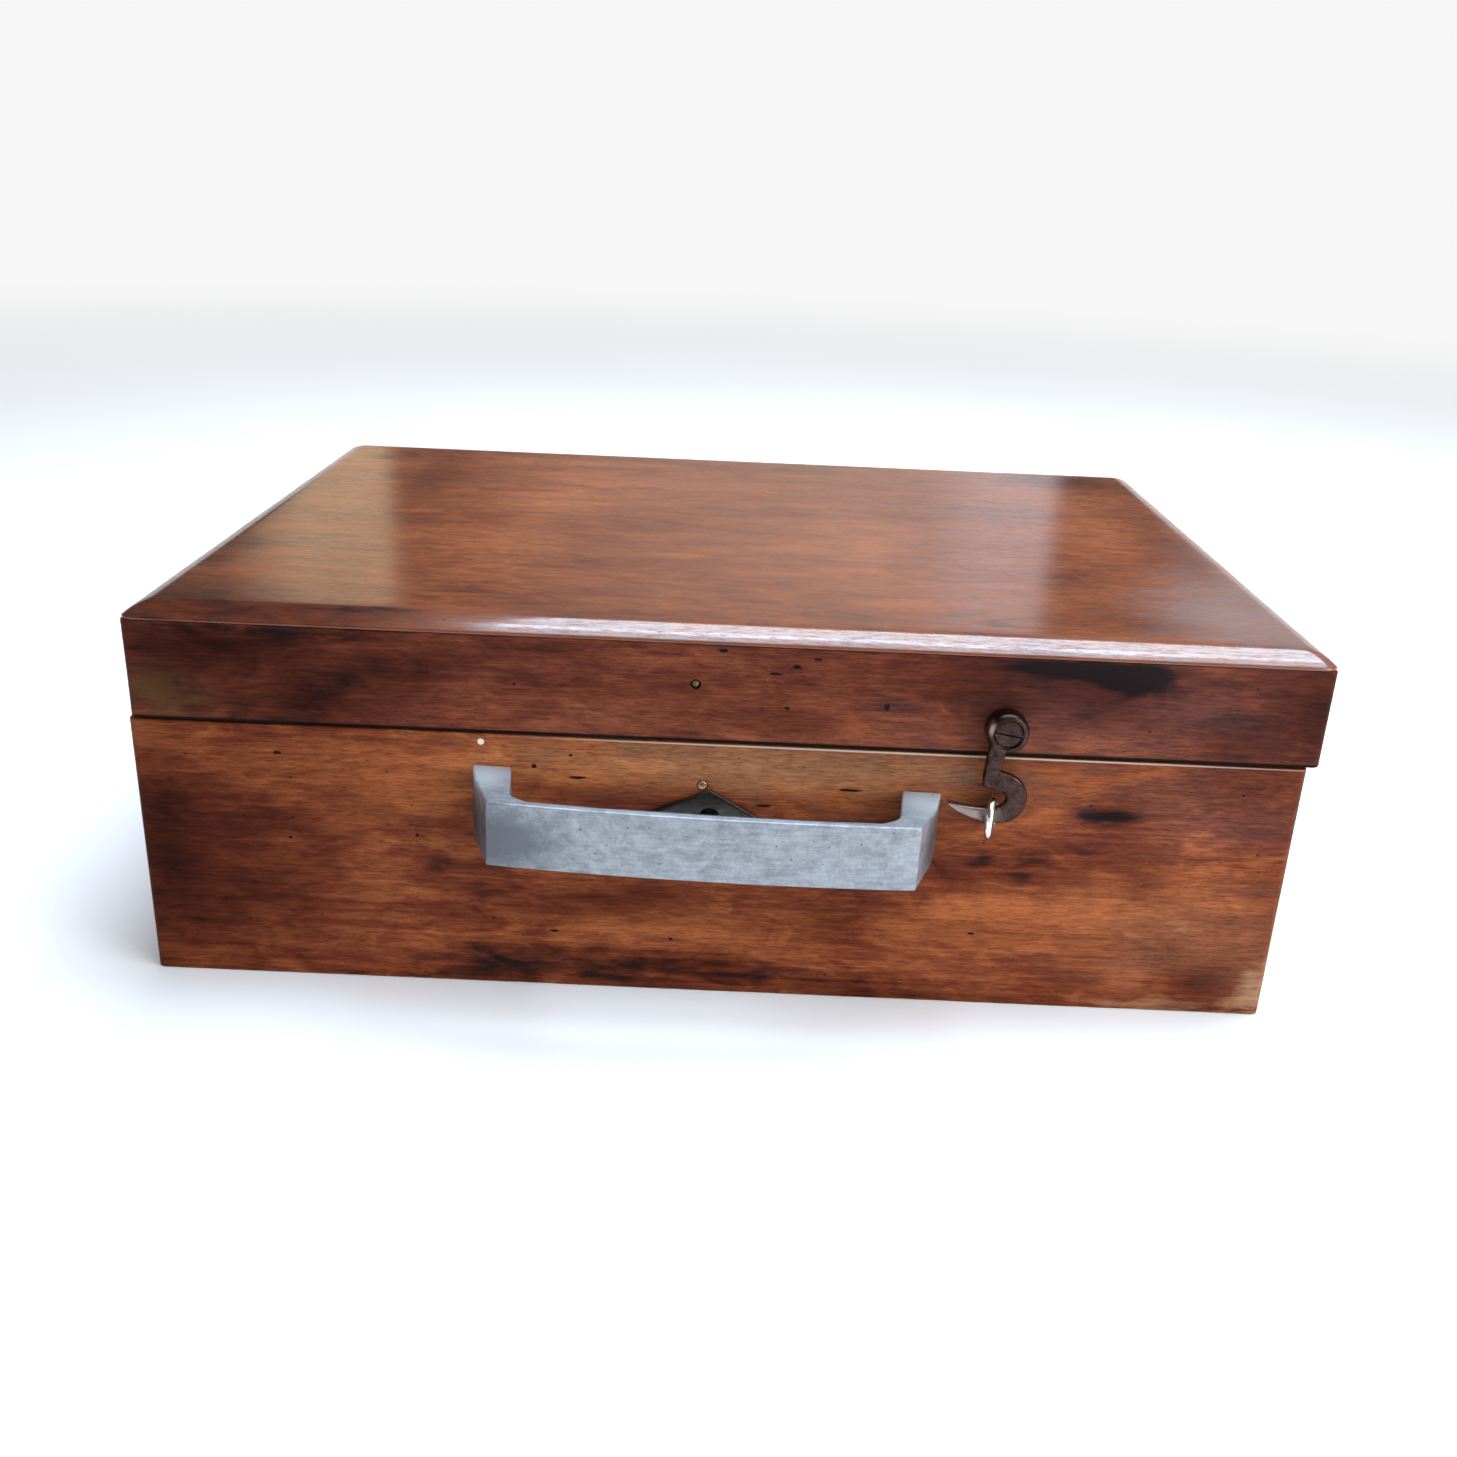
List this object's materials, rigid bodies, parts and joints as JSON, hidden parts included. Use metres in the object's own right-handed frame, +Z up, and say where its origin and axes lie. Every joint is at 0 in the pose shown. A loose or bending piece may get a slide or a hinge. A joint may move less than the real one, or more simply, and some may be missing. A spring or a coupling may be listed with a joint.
{
  "type": "wooden cash box",
  "caption": "Low lidded wooden cash box with a front pull, lozenge keyhole plate and till lock, butt hinges, a hook and eye, and partitions inside.",
  "frame": {"origin": "centre of the case's underside", "axes": "+X to the right of someone facing the front, -Y towards them out of the front, +Z up"},
  "size_m": [0.3533, 0.2898, 0.12],
  "materials": {
    "case_wood": "worn reddish-brown stain under old shellac, satin",
    "lid_wood": "worn reddish-brown stain under old shellac, glossier on top",
    "inside_wood": "bare planed wood, matt",
    "bottom_panel": "bare plywood, matt",
    "pull_aluminium": "cast, dull and mottled with brighter worn edges",
    "hook_iron": "dark oxidised iron, worn bright on the arm",
    "eye_nickel": "bright nickel plate with small dark spots",
    "plate_steel": "dark oxidised sheet steel with a brighter edge",
    "brass_pin": "dull brass",
    "hinge_brass": "aged brass",
    "lock_brass": "satin brass",
    "lock_steel": "dull steel",
    "screw_steel": "dull steel"
  },
  "bodies": {
    "case": {"case_back": "case_wood", "case_bottom": "bottom_panel", "case_front": "case_wood", "case_front_pin": "brass_pin", "case_left": "case_wood", "case_right": "case_wood", "hinge_left_case_leaf": "hinge_brass", "hinge_left_case_screw_a": "screw_steel", "hinge_left_case_screw_b": "screw_steel", "hinge_left_pin": "screw_steel", "hinge_right_case_leaf": "hinge_brass", "hinge_right_case_screw_a": "screw_steel", "hinge_right_case_screw_b": "screw_steel", "hinge_right_pin": "screw_steel", "keyhole_plate": "plate_steel", "keyhole_plate_pin_left": "brass_pin", "keyhole_plate_pin_right": "brass_pin", "lock_cap": "lock_brass", "lock_case": "lock_steel", "lock_key_pin": "lock_steel", "lock_screw_left": "screw_steel", "lock_screw_right": "screw_steel", "lock_spring": "lock_steel", "partition_long": "inside_wood", "pull_handle": "pull_aluminium", "pull_screw_left": "screw_steel", "pull_screw_right": "screw_steel", "pull_washer_left": "screw_steel", "pull_washer_right": "screw_steel", "screw_eye": "eye_nickel", "well_divider_1": "inside_wood", "well_divider_2": "inside_wood"},
    "lid": {"hinge_left_lid_leaf": "hinge_brass", "hinge_left_lid_screw_a": "screw_steel", "hinge_left_lid_screw_b": "screw_steel", "hinge_right_lid_leaf": "hinge_brass", "hinge_right_lid_screw_a": "screw_steel", "hinge_right_lid_screw_b": "screw_steel", "lid_back": "lid_wood", "lid_front": "lid_wood", "lid_front_pin": "brass_pin", "lid_left": "lid_wood", "lid_right": "lid_wood", "lid_top": "lid_wood", "strike_plate": "lock_steel", "strike_screw_left": "screw_steel", "strike_screw_right": "screw_steel", "hook_screw": "hook_iron"},
    "hook": {"hook": "hook_iron"},
    "lock_bolt": {"lock_bolt": "lock_brass"}
  },
  "joints": [
    {"name": "lid_hinge", "type": "hinge", "parent": "case", "child": "lid", "pos_m": [0, 0.1308, 0.085], "axis": [-1, 0, 0], "range_deg": [0, 180]},
    {"name": "hook_swing", "type": "hinge", "parent": "lid", "child": "hook", "pos_m": [0.084, -0.128, 0.0943], "axis": [0, -1, 0], "range_deg": [0, 120]},
    {"name": "bolt_slide", "type": "slide", "parent": "case", "child": "lock_bolt", "axis": [0, 0, 1], "range_m": [0, 0.006]}
  ]
}
